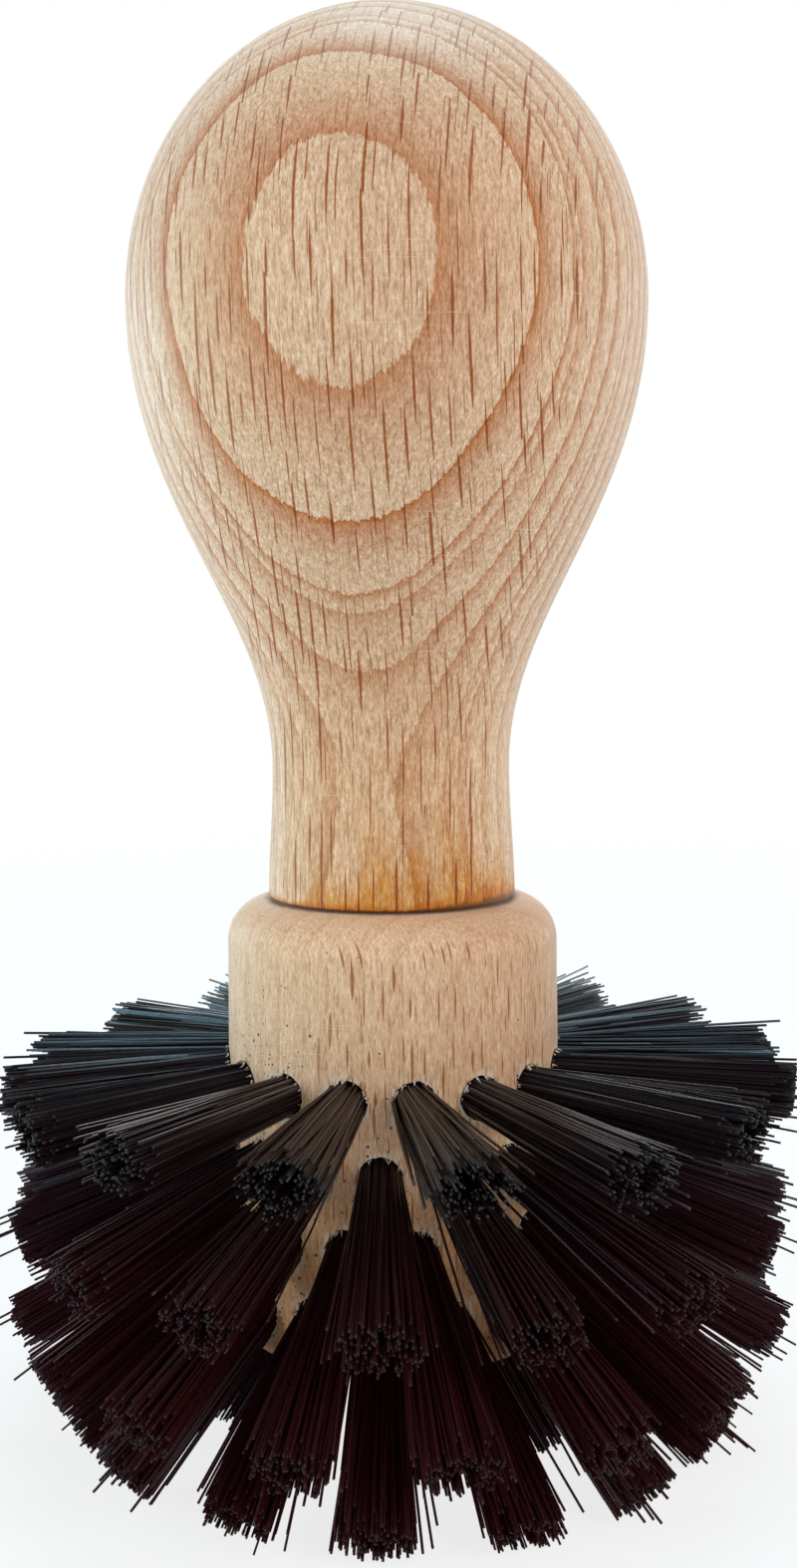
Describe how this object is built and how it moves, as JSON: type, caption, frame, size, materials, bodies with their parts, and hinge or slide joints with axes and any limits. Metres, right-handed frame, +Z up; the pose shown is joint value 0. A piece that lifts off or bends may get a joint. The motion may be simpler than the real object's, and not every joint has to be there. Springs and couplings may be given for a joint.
{
  "type": "portafilter brush",
  "caption": "Hand brush with a turned beech bulb handle and a drilled beech head that carries staggered rows of stiff black bristle tufts, for scrubbing coffee filter baskets.",
  "frame": {"origin": "centre of the plane that the bristle tips touch when the brush stands upright", "axes": "+Z up along the handle, from the bristle tips to the crown of the bulb; the pictured front faces -Y"},
  "size_m": [0.0622, 0.0622, 0.106],
  "materials": {
    "beech": "turned and sanded, unvarnished",
    "filament": "straight black filament",
    "staple_steel": "flat drawn wire"
  },
  "bodies": {
    "root": {"handle": "beech", "brush_head": "beech", "bristles_row_1": "filament", "bristles_row_2": "filament", "bristles_row_3": "filament", "bristles_last_row_and_base": "filament", "row_1_staple_01": "staple_steel", "row_1_staple_02": "staple_steel", "row_1_staple_03": "staple_steel", "row_1_staple_04": "staple_steel", "row_1_staple_05": "staple_steel", "row_1_staple_06": "staple_steel", "row_1_staple_07": "staple_steel", "row_1_staple_08": "staple_steel", "row_1_staple_09": "staple_steel", "row_1_staple_10": "staple_steel", "row_1_staple_11": "staple_steel", "row_1_staple_12": "staple_steel", "row_1_staple_13": "staple_steel", "row_1_staple_14": "staple_steel", "row_1_staple_15": "staple_steel", "row_1_staple_16": "staple_steel", "row_2_staple_01": "staple_steel", "row_2_staple_02": "staple_steel", "row_2_staple_03": "staple_steel", "row_2_staple_04": "staple_steel", "row_2_staple_05": "staple_steel", "row_2_staple_06": "staple_steel", "row_2_staple_07": "staple_steel", "row_2_staple_08": "staple_steel", "row_2_staple_09": "staple_steel", "row_2_staple_10": "staple_steel", "row_2_staple_11": "staple_steel", "row_2_staple_12": "staple_steel", "row_2_staple_13": "staple_steel", "row_2_staple_14": "staple_steel", "row_2_staple_15": "staple_steel", "row_2_staple_16": "staple_steel", "row_3_staple_01": "staple_steel", "row_3_staple_02": "staple_steel", "row_3_staple_03": "staple_steel", "row_3_staple_04": "staple_steel", "row_3_staple_05": "staple_steel", "row_3_staple_06": "staple_steel", "row_3_staple_07": "staple_steel", "row_3_staple_08": "staple_steel", "row_3_staple_09": "staple_steel", "row_3_staple_10": "staple_steel", "row_3_staple_11": "staple_steel", "row_3_staple_12": "staple_steel", "row_3_staple_13": "staple_steel", "row_3_staple_14": "staple_steel", "row_3_staple_15": "staple_steel", "row_3_staple_16": "staple_steel"}
  },
  "joints": []
}
